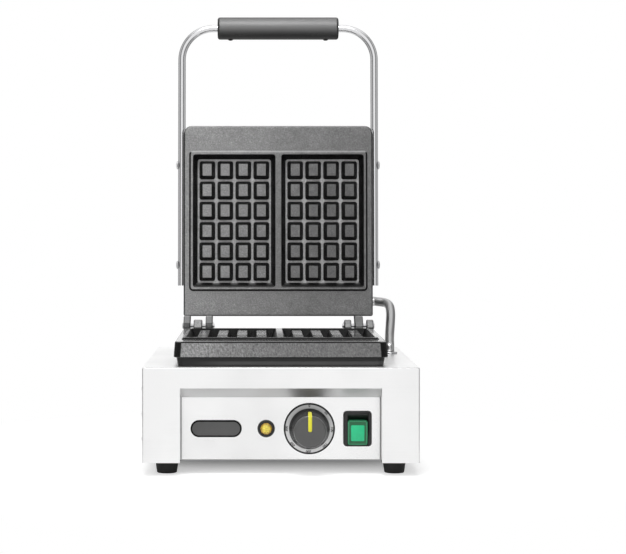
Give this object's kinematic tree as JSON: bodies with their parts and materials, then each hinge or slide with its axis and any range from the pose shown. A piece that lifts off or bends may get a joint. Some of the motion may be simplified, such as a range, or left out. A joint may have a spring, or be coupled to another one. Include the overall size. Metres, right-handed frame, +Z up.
{
  "type": "countertop waffle maker",
  "caption": "Countertop Liege waffle maker: stainless base, hinged cast-iron plates with a studded waffle grid, chrome lift handle, thermostat knob, pilot lamp and rocker switch.",
  "frame": {"origin": "on the table under the middle of the part's box, between the front of the knob and the back of the raised hood", "axes": "+Z up, -Y towards the user at the control panel, +X to the user's right"},
  "size_m": [0.311, 0.3664, 0.5387],
  "materials": {
    "brushed_stainless": "fine brushed stainless sheet",
    "satin_stainless": "satin stainless sheet",
    "seasoned_cast_iron": "seasoned, oiled cast iron",
    "black_enamel": "black stove enamel",
    "polished_chrome": "polished chrome plate",
    "zinc_plated_steel": "zinc plate",
    "black_plastic": "black moulded plastic",
    "knob_plastic": "dark grey satin moulding",
    "foot_rubber": "black rubber",
    "pointer_yellow": "yellow plastic strip",
    "dial_silver": "satin anodised",
    "amber_lens": "translucent amber",
    "green_lens": "translucent green",
    "badge_grey": "satin dark grey",
    "conduit_grey": "satin grey steel sleeve",
    "element_sheath": "oxidised sheath",
    "copper": "bare copper",
    "ceramic_fibre": "ceramic fibre mat",
    "terminal_ceramic": "glazed steatite"
  },
  "bodies": {
    "base": {"badge_plate": "badge_grey", "base_casing": "brushed_stainless", "bottom_cover": "satin_stainless", "cable_gland": "black_plastic", "conduit": "conduit_grey", "conduit_ferrule_base": "zinc_plated_steel", "control_panel": "satin_stainless", "dial_ring": "dial_silver", "foot_front_left": "foot_rubber", "foot_front_right": "foot_rubber", "foot_rear_left": "foot_rubber", "foot_rear_right": "foot_rubber", "foot_screw_front_left": "zinc_plated_steel", "foot_screw_front_right": "zinc_plated_steel", "foot_screw_rear_left": "zinc_plated_steel", "foot_screw_rear_right": "zinc_plated_steel", "gland_nut": "black_plastic", "hinge_clip_left": "zinc_plated_steel", "hinge_clip_right": "zinc_plated_steel", "hinge_pin_left": "zinc_plated_steel", "hinge_pin_right": "zinc_plated_steel", "lower_heating_element": "element_sheath", "lower_plate": "seasoned_cast_iron", "lower_tray": "black_enamel", "pilot_bezel": "black_plastic", "pilot_lens": "amber_lens", "pilot_nut": "black_plastic", "plate_screw_1": "zinc_plated_steel", "plate_screw_2": "zinc_plated_steel", "plate_screw_3": "zinc_plated_steel", "plate_screw_4": "zinc_plated_steel", "switch_housing": "black_plastic", "terminal_block": "terminal_ceramic", "thermostat_body": "black_plastic", "thermostat_bulb": "copper"},
    "lid": {"conduit_ferrule_hood": "zinc_plated_steel", "grip_screw_left": "zinc_plated_steel", "grip_screw_right": "zinc_plated_steel", "handle_grip": "black_plastic", "handle_rod": "polished_chrome", "handle_screw_left_far": "zinc_plated_steel", "handle_screw_left_near": "zinc_plated_steel", "handle_screw_right_far": "zinc_plated_steel", "handle_screw_right_near": "zinc_plated_steel", "hood_screw_1": "zinc_plated_steel", "hood_screw_2": "zinc_plated_steel", "hood_screw_3": "zinc_plated_steel", "hood_screw_4": "zinc_plated_steel", "upper_heating_element": "element_sheath", "upper_hood": "brushed_stainless", "upper_insulation": "ceramic_fibre", "upper_plate": "seasoned_cast_iron", "upper_reflector": "zinc_plated_steel"},
    "knob": {"knob": "knob_plastic", "knob_pointer": "pointer_yellow", "thermostat_shaft": "zinc_plated_steel"},
    "rocker": {"switch_rocker": "green_lens"}
  },
  "joints": [
    {"name": "lid_hinge", "type": "hinge", "parent": "base", "child": "lid", "pos_m": [0, 0.09304, 0.15], "axis": [1, 0, 0], "range_deg": [0, 92], "deforming": ["conduit"]},
    {"name": "knob_turn", "type": "hinge", "parent": "base", "child": "knob", "pos_m": [0.0317, -0.16786, 0.0505], "axis": [0, 1, 0], "range_deg": [0, 270]},
    {"name": "rocker_tilt", "type": "hinge", "parent": "base", "child": "rocker", "pos_m": [0.0851, -0.14776, 0.0467], "axis": [-1, 0, 0], "range_deg": [0, 12]}
  ]
}
